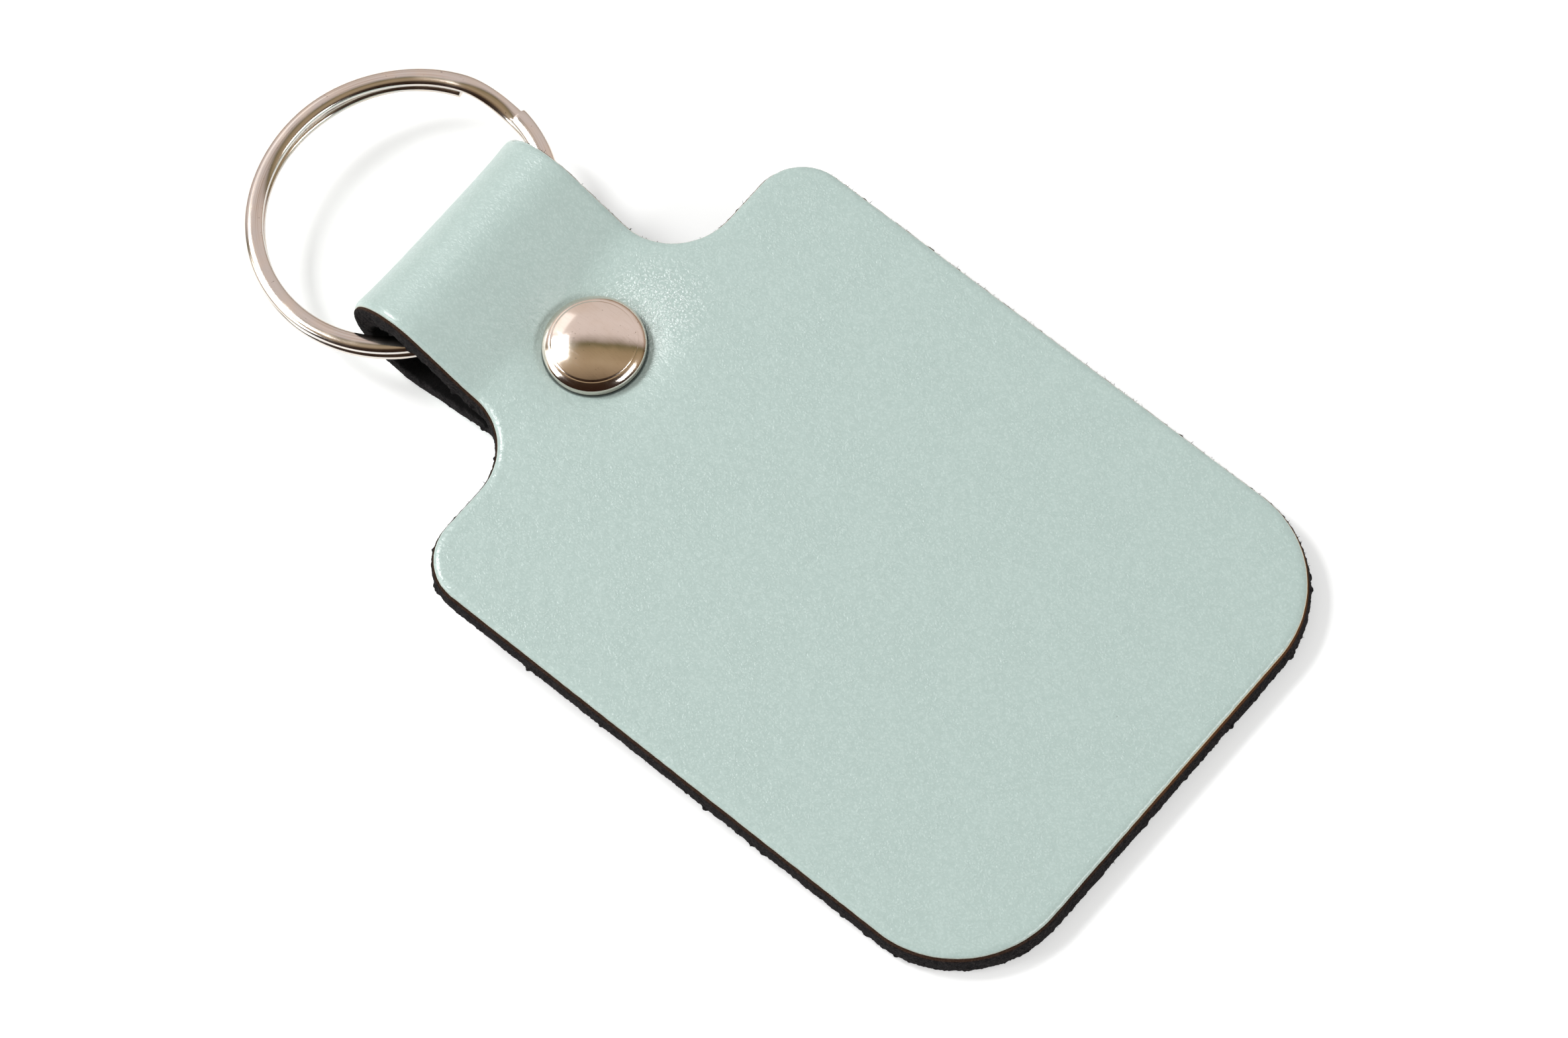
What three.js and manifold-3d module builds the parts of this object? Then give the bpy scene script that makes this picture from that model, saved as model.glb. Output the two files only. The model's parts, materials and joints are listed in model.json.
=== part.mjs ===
// Leather key ring: a die-cut leather blank, folded round a split ring and closed by one double-cap rivet.
// Millimetres, +Z up. The fob lies on its back with the ring end along +Y; the origin is under its middle.
import * as THREE from 'three';
import { mergeVertices } from 'three/addons/utils/BufferGeometryUtils.js';
import Module from 'manifold-3d';

const wasm = await Module();
wasm.setup();

// Leather blank
const PANEL_WIDTH = 45;
const PANEL_LENGTH = 56; // bottom edge to shoulder line
const CORNER_RADIUS = 9.4;
const SHOULDER_RADIUS = 4.8;
const NECK_FILLET = 4.6;
const CORE_THICKNESS = 2.0;
const FACE_THICKNESS = 0.3;

// Fold, tail and bend line
const FOLD_PLAY = 2.0; // fold's inner radius over half the ring's thickness
const LEG_BEND_RADIUS = 6; // where each leg leaves the rivet's grip
const LEG_GAP = 0.3; // between the neck's back and the tail
const TAIL_LENGTH = 7; // rivet axis to the tail's cut end
const FLEX_SETBACK = 3; // tail's end to the line where the panel bends
const FLEX_GAP = 0.3;

// Split ring
const RING_DIAMETER = 25;
const WIRE_WIDTH = 1.5; // across the ring
const WIRE_HEIGHT = 0.79; // along the ring's axis, each turn
const TURN_GAP = 0.45;
const RING_END_ANGLE = 19; // degrees from +X to the lower turn's cut end
const CROSSOVER_ANGLE = 28; // degrees of arc in which the wire climbs to the upper turn
const RING_DIP = 5; // degrees that the ring hangs below the panel's plane
const RING_LIFT = 0.05; // ring's inner run above the middle of the loop
const RING_CLEARANCE = 0.3;
const NECK_PLAY = 3.6; // neck narrower than the ring's inside

// Rivet
const RIVET_ABOVE_SHOULDER = 0.9;
const CAP_DIAMETER = 8.1;
const FRONT_CAP_HEIGHT = 1.25;
const BACK_CAP_HEIGHT = 1.7; // the fob rests on this cap
const CAP_WALL = 0.3;
const CAP_RIM = 0.4; // upright part of the cap's side
const GRIP_INSET = 0.9; // legs start to part this far inside the cap's rim
const SEAT_GAP = 0.3; // cap to leather
const FLANGE_THICKNESS = 0.25;
const FLANGE_PLAY = 0.7; // flange to the cap's inside
const POST_RADIUS = 1.05;
const POST_BORE_RADIUS = 0.7;
const POST_HEAD_RADIUS = 1.5;
const POST_HEAD_HEIGHT = 0.2;
const SOCKET_WALL = 0.35;
const SOCKET_PLAY = 0.3; // socket tube to post, and to its punched hole

// Facets
const ARC_STEPS = 12;
const FOLD_STEPS = 32;
const BEND_STEPS = 6;
const LATHE_STEPS = 40;
const TURN_STEPS = 72;
const DOME_STEPS = 8;
const WIRE_CORNER_STEPS = 3;

// Worked-out sizes
const thickness = CORE_THICKNESS + FACE_THICKNESS;
const ringRadius = RING_DIAMETER / 2;
const ringInnerRadius = ringRadius - WIRE_WIDTH;
const ringMiddleRadius = ringRadius - WIRE_WIDTH / 2;
const ringStack = 2 * WIRE_HEIGHT + TURN_GAP;
const ringDip = THREE.MathUtils.degToRad(RING_DIP);
const neckWidth = 2 * ringInnerRadius - NECK_PLAY;
const shoulderStep = (PANEL_WIDTH - neckWidth) / 2;
const shoulderRadius = Math.min(SHOULDER_RADIUS, shoulderStep * 0.49);
const neckFillet = Math.min(NECK_FILLET, shoulderStep * 0.49);
const cornerRadius = Math.min(CORNER_RADIUS, PANEL_WIDTH * 0.49);
const rivetY = PANEL_LENGTH + RIVET_ABOVE_SHOULDER;
const capRadius = CAP_DIAMETER / 2;
const partY = Math.max(rivetY + capRadius - GRIP_INSET, PANEL_LENGTH + neckFillet);
const tailEndY = rivetY - TAIL_LENGTH;
const flexY = tailEndY - FLEX_SETBACK;
const socketInnerRadius = POST_RADIUS + SOCKET_PLAY;
const socketOuterRadius = socketInnerRadius + SOCKET_WALL;
const holeRadius = socketOuterRadius + SOCKET_PLAY;
const loopMiddleZ = -LEG_GAP / 2;
const tailOuterZ = -LEG_GAP - thickness;

// The legs run straight from the rivet's grip to the fold: this gives their slope and where that run starts
function legFor(foldY, foldRadius) {
  const run = foldY - partY;
  const bendRadius = Math.min(LEG_BEND_RADIUS, run * 0.75);
  const rise = bendRadius - loopMiddleZ;
  const slope = Math.asin((bendRadius + foldRadius) / Math.hypot(run, rise)) - Math.atan2(rise, run);
  const startY = partY + bendRadius * Math.sin(slope);
  const startZ = bendRadius * (1 - Math.cos(slope));
  return { bendRadius, slope, startY, startZ };
}

// The loop's length: the fold moves out until the ring's inner run fits between the legs
// and the wire still clears the fold at the neck's two edges.
function settleLoop() {
  const foldRadius = ringStack / 2 + FOLD_PLAY;
  const halfChord = Math.sqrt(ringInnerRadius ** 2 - (neckWidth / 2) ** 2);
  const nearHeight = ringStack / 2 + RING_LIFT + (WIRE_WIDTH / 2) * Math.sin(ringDip) + RING_CLEARANCE;
  const edgeDrop = Math.abs((ringMiddleRadius - halfChord) * Math.sin(ringDip) - RING_LIFT);
  const edgeHeight = Math.min(ringStack / 2 + edgeDrop, foldRadius * 0.9);
  const edgeReach = Math.sqrt(foldRadius ** 2 - edgeHeight ** 2);
  let foldY = partY + 3 * foldRadius;
  let leg = legFor(foldY, foldRadius);
  let ringY = foldY;
  for (let pass = 0; pass < 60; pass += 1) {
    leg = legFor(foldY, foldRadius);
    const nearY = leg.startY + (nearHeight + loopMiddleZ - leg.startZ) / Math.tan(leg.slope);
    ringY = nearY + ringRadius;
    foldY = ringY - halfChord + RING_CLEARANCE - edgeReach;
  }
  return { foldRadius, foldY, ringY, leg };
}

const loop = settleLoop();
const ringZ = loopMiddleZ + RING_LIFT - ringMiddleRadius * Math.sin(ringDip);

// The fob rests on its bottom edge and on the lower of the rivet's back cap and the fold
const foldOuterRadius = loop.foldRadius + thickness;
const capTilt = Math.atan2(-tailOuterZ + SEAT_GAP + BACK_CAP_HEIGHT, rivetY);
const foldTilt = Math.asin(foldOuterRadius / loop.foldY) + Math.atan2(-loopMiddleZ, loop.foldY);
const restTilt = Math.max(capTilt, foldTilt);

function toSolid(geometry) {
  const bare = geometry.clone();
  bare.deleteAttribute('normal');
  bare.deleteAttribute('uv');
  const merged = mergeVertices(bare, 1e-5);
  const vertProperties = new Float32Array(merged.attributes.position.array);
  const triVerts = new Uint32Array(merged.index.array);
  return new wasm.Manifold(new wasm.Mesh({ numProp: 3, vertProperties, triVerts }));
}

function toGeometry(solid) {
  const mesh = solid.getMesh();
  const geometry = new THREE.BufferGeometry();
  geometry.setAttribute('position', new THREE.BufferAttribute(mesh.vertProperties, 3));
  geometry.setIndex(new THREE.BufferAttribute(mesh.triVerts, 1));
  return geometry;
}

function rod(radius, length, axis) {
  const geometry = new THREE.CylinderGeometry(radius, radius, length, LATHE_STEPS);
  if (axis === 'x') {
    geometry.rotateZ(Math.PI / 2);
  } else {
    geometry.rotateX(Math.PI / 2);
  }
  return geometry;
}

// Plan of the leather below the bend line: a plate with two round bottom corners
function panelOutline() {
  const half = PANEL_WIDTH / 2;
  const shape = new THREE.Shape();
  shape.moveTo(half, flexY);
  shape.lineTo(-half, flexY);
  shape.lineTo(-half, cornerRadius);
  shape.absarc(-half + cornerRadius, cornerRadius, cornerRadius, Math.PI, 1.5 * Math.PI, false);
  shape.lineTo(half - cornerRadius, 0);
  shape.absarc(half - cornerRadius, cornerRadius, cornerRadius, 1.5 * Math.PI, 2 * Math.PI, false);
  shape.closePath();
  return shape;
}

// Plan of the leather above the bend line: shoulders that sweep into the neck
function shoulderOutline() {
  const half = PANEL_WIDTH / 2;
  const neck = neckWidth / 2;
  const shoulderY = PANEL_LENGTH - shoulderRadius;
  const filletX = neck + neckFillet;
  const filletY = PANEL_LENGTH + neckFillet;
  const shape = new THREE.Shape();
  shape.moveTo(-half, flexY - thickness);
  shape.lineTo(half, flexY - thickness);
  shape.lineTo(half, shoulderY);
  shape.absarc(half - shoulderRadius, shoulderY, shoulderRadius, 0, 0.5 * Math.PI, false);
  shape.lineTo(filletX, PANEL_LENGTH);
  shape.absarc(filletX, filletY, neckFillet, 1.5 * Math.PI, Math.PI, true);
  shape.lineTo(neck, partY);
  shape.lineTo(-neck, partY);
  shape.lineTo(-neck, filletY);
  shape.absarc(-filletX, filletY, neckFillet, 0, -0.5 * Math.PI, true);
  shape.lineTo(-half + shoulderRadius, PANEL_LENGTH);
  shape.absarc(-half + shoulderRadius, shoulderY, shoulderRadius, 0.5 * Math.PI, Math.PI, false);
  shape.closePath();
  return shape;
}

function plate(shape, low, high) {
  const geometry = new THREE.ExtrudeGeometry(shape, {
    depth: high - low,
    bevelEnabled: false,
    curveSegments: ARC_STEPS,
  });
  return geometry.translate(0, 0, low);
}

// Side view of the folded strip's back face, from the rivet's neck side round the fold to the tail's end.
// Each point carries the outward direction, towards the coated face.
function stripPath() {
  const { bendRadius, slope } = loop.leg;
  const points = [];
  const add = (y, z, angle) => {
    points.push({ y, z, ny: Math.cos(angle), nz: Math.sin(angle) });
  };
  const quarter = Math.PI / 2;
  add(rivetY, 0, quarter);
  for (let i = 0; i <= BEND_STEPS; i += 1) {
    const turn = (slope * i) / BEND_STEPS;
    add(partY + bendRadius * Math.sin(turn), bendRadius * (1 - Math.cos(turn)), quarter + turn);
  }
  for (let i = 0; i <= FOLD_STEPS; i += 1) {
    const angle = quarter + slope - ((Math.PI + 2 * slope) * i) / FOLD_STEPS;
    const y = loop.foldY + loop.foldRadius * Math.cos(angle);
    const z = loopMiddleZ + loop.foldRadius * Math.sin(angle);
    add(y, z, angle);
  }
  for (let i = BEND_STEPS; i >= 0; i -= 1) {
    const turn = (slope * i) / BEND_STEPS;
    const z = -LEG_GAP - bendRadius * (1 - Math.cos(turn));
    add(partY + bendRadius * Math.sin(turn), z, -quarter - turn);
  }
  add(tailEndY, -LEG_GAP, -quarter);
  return points;
}

function strip(low, high) {
  const path = stripPath();
  const inner = path.map((p) => new THREE.Vector2(p.y + p.ny * low, p.z + p.nz * low));
  const outer = path.map((p) => new THREE.Vector2(p.y + p.ny * high, p.z + p.nz * high));
  const shape = new THREE.Shape([...inner, ...outer.reverse()]);
  const geometry = new THREE.ExtrudeGeometry(shape, { depth: neckWidth, bevelEnabled: false });
  const sideways = new THREE.Matrix4().makeBasis(
    new THREE.Vector3(0, 1, 0),
    new THREE.Vector3(0, 0, 1),
    new THREE.Vector3(1, 0, 0),
  );
  return geometry.applyMatrix4(sideways).translate(-neckWidth / 2, 0, 0);
}

// One layer of the panel: it ends in a hollow round the bend line
function panelLayer(low, high) {
  const hollow = rod(thickness / 2 + FLEX_GAP, PANEL_WIDTH * 1.2, 'x').translate(0, flexY, thickness / 2);
  return toGeometry(toSolid(plate(panelOutline(), low, high)).subtract(toSolid(hollow)));
}

// One layer of shoulders, neck, fold and tail: it starts with a round nose on the bend line
function loopLayer(low, high) {
  const nose = rod(thickness / 2, PANEL_WIDTH * 1.4, 'x').translate(0, flexY, thickness / 2);
  const front = new THREE.BoxGeometry(PANEL_WIDTH * 1.2, 2 * thickness, 2 * thickness);
  front.translate(0, flexY - thickness, thickness / 2);
  const hole = rod(holeRadius, 6 * thickness, 'z').translate(0, rivetY, loopMiddleZ);
  const flat = toSolid(plate(shoulderOutline(), low, high));
  const cut = toSolid(front).subtract(toSolid(nose));
  return toGeometry(flat.subtract(cut).add(toSolid(strip(low, high))).subtract(toSolid(hole)));
}

function turned(profile) {
  const points = profile.map(([r, z]) => new THREE.Vector2(r, z));
  return new THREE.LatheGeometry(points, LATHE_STEPS).rotateX(Math.PI / 2);
}

// Domed cap, open below, its rim at height 0
function capGeometry(capHeight) {
  const dome = (radius, rim, height) => {
    const points = [];
    for (let i = 0; i <= DOME_STEPS; i += 1) {
      const angle = (0.5 * Math.PI * i) / DOME_STEPS;
      const r = i === DOME_STEPS ? 0 : radius * Math.cos(angle) ** 0.8;
      points.push([r, rim + (height - rim) * Math.sin(angle)]);
    }
    return points;
  };
  const outer = [[capRadius, 0], ...dome(capRadius, CAP_RIM, capHeight)];
  const innerRadius = capRadius - CAP_WALL;
  const inner = [[innerRadius, 0], ...dome(innerRadius, CAP_RIM, capHeight - CAP_WALL)];
  return turned([...inner.reverse(), ...outer]);
}

// Flanged tube of the front half, its flange just above the neck
function socketGeometry() {
  const flangeRadius = capRadius - CAP_WALL - FLANGE_PLAY;
  const low = thickness + SEAT_GAP;
  const high = low + FLANGE_THICKNESS;
  return turned([
    [socketInnerRadius, tailOuterZ],
    [socketOuterRadius, tailOuterZ],
    [socketOuterRadius, low],
    [flangeRadius, low],
    [flangeRadius, high],
    [socketInnerRadius, high],
    [socketInnerRadius, tailOuterZ],
  ]);
}

// Flanged hollow post of the back half, its head spread over the socket
function postGeometry() {
  const flangeRadius = capRadius - CAP_WALL - FLANGE_PLAY;
  const high = tailOuterZ - SEAT_GAP;
  const low = high - FLANGE_THICKNESS;
  const headLow = thickness + SEAT_GAP + FLANGE_THICKNESS + SOCKET_PLAY;
  const headHigh = headLow + POST_HEAD_HEIGHT;
  return turned([
    [0, low],
    [flangeRadius, low],
    [flangeRadius, high],
    [POST_RADIUS, high],
    [POST_RADIUS, headLow],
    [POST_HEAD_RADIUS, headLow],
    [POST_HEAD_RADIUS, headHigh],
    [POST_BORE_RADIUS, headHigh],
    [POST_BORE_RADIUS, high],
    [0, high],
  ]);
}

// Wire section: a flat oblong with full round sides, as offsets across and along the ring's axis
function wireSection() {
  const round = WIRE_HEIGHT / 2;
  const flat = WIRE_WIDTH / 2 - round;
  const points = [];
  for (const side of [1, -1]) {
    for (let i = 0; i <= 2 * WIRE_CORNER_STEPS; i += 1) {
      const angle = (Math.PI / 2) * (i / WIRE_CORNER_STEPS - 1);
      points.push([side * (flat + round * Math.cos(angle)), side * round * Math.sin(angle)]);
    }
  }
  return points;
}

// The wire's run: the lower turn from its cut end, the climb, and the upper turn to the other cut end
function ringSections() {
  const start = THREE.MathUtils.degToRad(RING_END_ANGLE);
  const climb = THREE.MathUtils.degToRad(CROSSOVER_ANGLE);
  const total = 4 * Math.PI - climb;
  const steps = Math.ceil((TURN_STEPS * total) / (2 * Math.PI));
  const section = wireSection();
  const level = (WIRE_HEIGHT + TURN_GAP) / 2;
  const sections = [];
  for (let i = 0; i <= steps; i += 1) {
    const run = (total * i) / steps;
    const climbed = THREE.MathUtils.smoothstep(run, 2 * Math.PI - climb, 2 * Math.PI);
    const height = level * (2 * climbed - 1);
    const angle = start + run;
    sections.push(section.map(([across, along]) => {
      const radius = ringMiddleRadius + across;
      return new THREE.Vector3(radius * Math.cos(angle), radius * Math.sin(angle), height + along);
    }));
  }
  return sections;
}

// Least distance between the two turns, measured on the wire's points half a turn or more apart
function leastGap(sections) {
  const apart = TURN_STEPS / 2;
  let least = Infinity;
  for (let i = 0; i + apart < sections.length; i += 1) {
    for (let j = i + apart; j < sections.length; j += 1) {
      for (const a of sections[i]) {
        for (const b of sections[j]) {
          least = Math.min(least, a.distanceToSquared(b));
        }
      }
    }
  }
  return Math.sqrt(least);
}

function sweptGeometry(sections) {
  const count = sections[0].length;
  const positions = sections.flat().flatMap((p) => [p.x, p.y, p.z]);
  const index = [];
  for (let i = 0; i + 1 < sections.length; i += 1) {
    for (let j = 0; j < count; j += 1) {
      const a = i * count + j;
      const b = i * count + ((j + 1) % count);
      index.push(a, a + count, b, b, a + count, b + count);
    }
  }
  const last = (sections.length - 1) * count;
  for (let j = 1; j + 1 < count; j += 1) {
    index.push(0, j, j + 1);
    index.push(last, last + j + 1, last + j);
  }
  const geometry = new THREE.BufferGeometry();
  geometry.setAttribute('position', new THREE.Float32BufferAttribute(positions, 3));
  geometry.setIndex(index);
  return geometry;
}

const mintFace = new THREE.MeshStandardMaterial({ color: 0xbccdc7, roughness: 0.5, metalness: 0 });
const fibreCore = new THREE.MeshStandardMaterial({ color: 0x2e2927, roughness: 0.95, metalness: 0 });
const nickel = new THREE.MeshStandardMaterial({ color: 0xcabfb3, roughness: 0.16, metalness: 1 });
const rivetSteel = new THREE.MeshStandardMaterial({ color: 0xb3aba2, roughness: 0.35, metalness: 1 });

function part(name, geometry, material) {
  const mesh = new THREE.Mesh(geometry, material);
  mesh.name = name;
  return mesh;
}

const wire = ringSections();
console.log(`split ring: least gap between its turns ${leastGap(wire).toFixed(3)} mm`);

const fob = new THREE.Group();
fob.add(part('panel_core', panelLayer(0, CORE_THICKNESS), fibreCore));
fob.add(part('panel_face', panelLayer(CORE_THICKNESS, thickness), mintFace));
fob.add(part('loop_core', loopLayer(0, CORE_THICKNESS), fibreCore));
fob.add(part('loop_face', loopLayer(CORE_THICKNESS, thickness), mintFace));

const rivet = new THREE.Group();
rivet.position.set(0, rivetY, 0);
fob.add(rivet);
const frontCap = part('rivet_front_cap', capGeometry(FRONT_CAP_HEIGHT), nickel);
frontCap.position.z = thickness + SEAT_GAP;
const backCap = part('rivet_back_cap', capGeometry(BACK_CAP_HEIGHT), nickel);
backCap.rotation.x = Math.PI;
backCap.position.z = tailOuterZ - SEAT_GAP;
rivet.add(frontCap, backCap);
rivet.add(part('rivet_socket', socketGeometry(), rivetSteel));
rivet.add(part('rivet_post', postGeometry(), rivetSteel));

const ring = part('split_ring', sweptGeometry(wire), nickel);
ring.rotation.x = -ringDip;
ring.position.set(0, loop.ringY, ringZ);
fob.add(ring);

// Lay the fob on the ground and centre it over the origin
fob.rotation.x = restTilt;
const keyRing = new THREE.Group();
keyRing.add(fob);
keyRing.updateMatrixWorld(true);
const box = new THREE.Box3().setFromObject(keyRing, true);
const middle = box.getCenter(new THREE.Vector3());
fob.position.set(-middle.x, -middle.y, -box.min.z);

export default keyRing;
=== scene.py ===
# %% [markdown]
# A leather key ring. The real object is a die-cut leather blank, folded round a split ring and closed by
# one rivet. A imported CAD model already holds its sizes and its moving bodies. It loads first and stays
# fixed, so every piece made below is built in the place that the frame gives; the rivet caps and the ring
# then ride on its bodies.

# %% Load the frame
import json
import math
import random

import bmesh
import bpy
import numpy as np
from mathutils import Matrix, Quaternion, Vector, noise


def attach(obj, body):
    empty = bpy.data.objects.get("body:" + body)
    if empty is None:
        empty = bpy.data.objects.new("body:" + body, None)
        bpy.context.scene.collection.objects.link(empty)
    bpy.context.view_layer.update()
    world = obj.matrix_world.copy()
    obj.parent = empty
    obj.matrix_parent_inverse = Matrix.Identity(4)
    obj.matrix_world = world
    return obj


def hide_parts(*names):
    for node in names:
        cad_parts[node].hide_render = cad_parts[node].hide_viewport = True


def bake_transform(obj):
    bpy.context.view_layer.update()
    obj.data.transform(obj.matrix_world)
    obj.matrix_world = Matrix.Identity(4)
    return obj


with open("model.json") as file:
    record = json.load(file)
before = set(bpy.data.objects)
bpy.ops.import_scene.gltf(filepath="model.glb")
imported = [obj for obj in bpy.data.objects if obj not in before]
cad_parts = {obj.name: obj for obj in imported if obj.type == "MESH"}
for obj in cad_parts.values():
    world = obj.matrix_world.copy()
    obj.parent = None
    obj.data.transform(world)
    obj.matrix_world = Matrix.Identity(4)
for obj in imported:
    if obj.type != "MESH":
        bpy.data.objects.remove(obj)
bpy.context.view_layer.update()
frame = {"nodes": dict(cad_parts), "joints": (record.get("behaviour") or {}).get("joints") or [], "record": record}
joints = {joint["name"]: joint for joint in frame["joints"]}

# %% [markdown]
# A leather worker thinks of the fob lying flat on the bench, in millimetres: x across, y from the bottom
# edge to the ring, z up from the panel's back. In the frame the fob leans a little, because it rests on its
# back cap. One matrix carries bench millimetres to that place. It hangs on the bend line's joint and on the
# lean of the panel's back face, so it follows the frame by itself.

# %% Carry bench millimetres to the frame
MM = 0.001
FILM = 0.3
CORE = 2.0
THICK = FILM + CORE
BEND_LINE_Y = 46.9
RIVET_Y = 56.9
CAP_RADIUS = 4.05
NECK_HALF = 9.2

mounts = {mount["name"]: mount for mount in frame["record"]["mounts"]}
back_faces = Vector(mounts["panel_back"]["axis"])
lean = math.atan2(back_faces.y, -back_faces.z)
bench = (
    Matrix.Translation(joints["neck_flex"]["pos_m"])
    @ Matrix.Rotation(lean, 4, "X")
    @ Matrix.Scale(MM, 4)
    @ Matrix.Translation((0, -BEND_LINE_Y, -THICK / 2))
)
bottom_edge = bench @ Vector((0, 0, 0))
print(f"the fob leans {math.degrees(lean):.2f} degrees; its bottom edge is at {bottom_edge}")

# %% [markdown]
# The camera stands where the photographer stood: high over the panel's bottom left, with a long lens, so
# the sides stay almost parallel. Its place came from matching the outline of the panel, the rivet and the
# ring. It is written in bench millimetres and turned with the fob.

# %% Set the camera
EYE = Vector((-134.49, -129.92, 509.13))
PICTURE_RIGHT = Vector((0.6502, -0.7558, -0.0775))
PICTURE_UP = Vector((0.7204, 0.5808, 0.3790))
SENSOR_WIDTH = 36
LENS = 167.2

camera_data = bpy.data.cameras.new("camera")
camera_data.sensor_fit = "HORIZONTAL"
camera_data.sensor_width = SENSOR_WIDTH
camera_data.lens = LENS
camera_data.clip_start = 0.01
camera_data.clip_end = 20
camera = bpy.data.objects.new("camera", camera_data)
bpy.context.scene.collection.objects.link(camera)
turn = bench.to_3x3().normalized()
towards_eye = PICTURE_RIGHT.cross(PICTURE_UP)
axes = Matrix([turn @ PICTURE_RIGHT, turn @ PICTURE_UP, turn @ towards_eye]).transposed()
camera.matrix_world = Matrix.Translation(bench @ EYE) @ axes.to_4x4()
bpy.context.scene.camera = camera
print("camera at", [round(v, 4) for v in camera.location])

# %% [markdown]
# A few small helpers serve every piece. The first turns a bmesh into a finished object: smooth shading,
# with edges kept sharp where the surface turns a corner. The others add shader nodes and fill their
# sockets, each with a number or with a link. Named helpers keep a finish readable as a list of layers.

# %% Helpers for pieces and shader nodes
def finished_piece(name, bm, material, sharp_angle=40):
    bmesh.ops.recalc_face_normals(bm, faces=bm.faces[:])
    mesh = bpy.data.meshes.new(name)
    bm.to_mesh(mesh)
    bm.free()
    mesh.shade_smooth()
    mesh.set_sharp_from_angle(angle=math.radians(sharp_angle))
    mesh.materials.append(material)
    piece = bpy.data.objects.new(name, mesh)
    bpy.context.scene.collection.objects.link(piece)
    print(f"{name}: {len(mesh.polygons)} faces")
    return piece


def add_node(tree, kind, sockets=None, **settings):
    made = tree.nodes.new("ShaderNode" + kind)
    for key, value in settings.items():
        setattr(made, key, value)
    for key, value in (sockets or {}).items():
        if isinstance(value, bpy.types.NodeSocket):
            tree.links.new(value, made.inputs[key])
        else:
            made.inputs[key].default_value = value
    return made


def total(tree, first, second):
    return add_node(tree, "Math", {0: first, 1: second}, operation="ADD").outputs[0]


def product(tree, first, second):
    return add_node(tree, "Math", {0: first, 1: second}, operation="MULTIPLY").outputs[0]


def spread(tree, value, low, high, to_low=0.0, to_high=1.0):
    sockets = {"Value": value, "From Min": low, "From Max": high, "To Min": to_low, "To Max": to_high}
    return add_node(tree, "MapRange", sockets, interpolation_type="SMOOTHSTEP").outputs[0]


def mix_colour(tree, share, first, second):
    return add_node(tree, "Mix", {0: share, 6: first, 7: second}, data_type="RGBA").outputs[2]


def noise_at(tree, vector, scale, detail=2.0):
    return add_node(tree, "TexNoise", {"Vector": vector, "Scale": scale, "Detail": detail}).outputs["Fac"]


def stretched(tree, vector, scale, degrees=0):
    sockets = {"Vector": vector, "Rotation": (0, 0, math.radians(degrees)), "Scale": scale}
    return add_node(tree, "Mapping", sockets).outputs[0]


def vector_math(tree, operation, first, second):
    return add_node(tree, "VectorMath", {0: first, 1: second}, operation=operation)


def attribute(tree, name):
    return add_node(tree, "Attribute", attribute_name=name).outputs["Vector"]


def new_finish(name):
    material = bpy.data.materials.new(name)
    material.use_nodes = True
    tree = material.node_tree
    return material, tree, tree.nodes["Principled BSDF"]


print("helpers ready")

# %% [markdown]
# The coated face is a thin mint film with a fine pebbled grain. The grain could sit in the mesh, but its
# cells are under half a millimetre, so a bump does it with far fewer faces. It is drawn in the flat blank's
# own millimetres, kept on each vertex as the attribute `blank`, so the grain follows the leather round the
# fold, where it is drawn taut and smoother. The die has polished the rolled rim, so the grain fades there.
# Beside the rivet a worn spot is glossier, and the tops of its pebbles are painted paler there: a painted glint.
# The grain's valleys and creases are painted darker, partly dye and partly painted shade, and a ring of
# painted shadow lies on the leather round the cap's foot. Under the rim a thin ochre line shows, where the
# dye stops; it is weak on the left side.

# %% Finish of the mint face
MINT = (0.444, 0.542, 0.511, 1)
MINT_SHADE = (0.388, 0.484, 0.454, 1)
SPECK = (0.12, 0.15, 0.13, 1)
PAINTED_GLINT = (0.70, 0.77, 0.75, 1)
OCHRE = (0.620, 0.480, 0.300, 1)
PAINTED_CAP_SHADOW = (0.045, 0.060, 0.050, 1)
WORN_GLINT_SPOT = (5.2, RIVET_Y - 1.6, THICK)
GRAIN_LIE = -35
GRAIN_SCALE = 5.4
GRAIN_HEIGHT = 0.0142
WORN_GRAIN = 1.9
SWELL_HEIGHT = 4.5
TAUT_SWELL_HEIGHT = 2.2
RIM_ROUGHNESS = (0.20, 0.27)
FACE_ROUGHNESS = 0.13
WORN_SHINE = -0.15


def dye_left(tree, across):
    return spread(tree, across, -10.0, 4.0, 0.25, 1.0)


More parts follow.
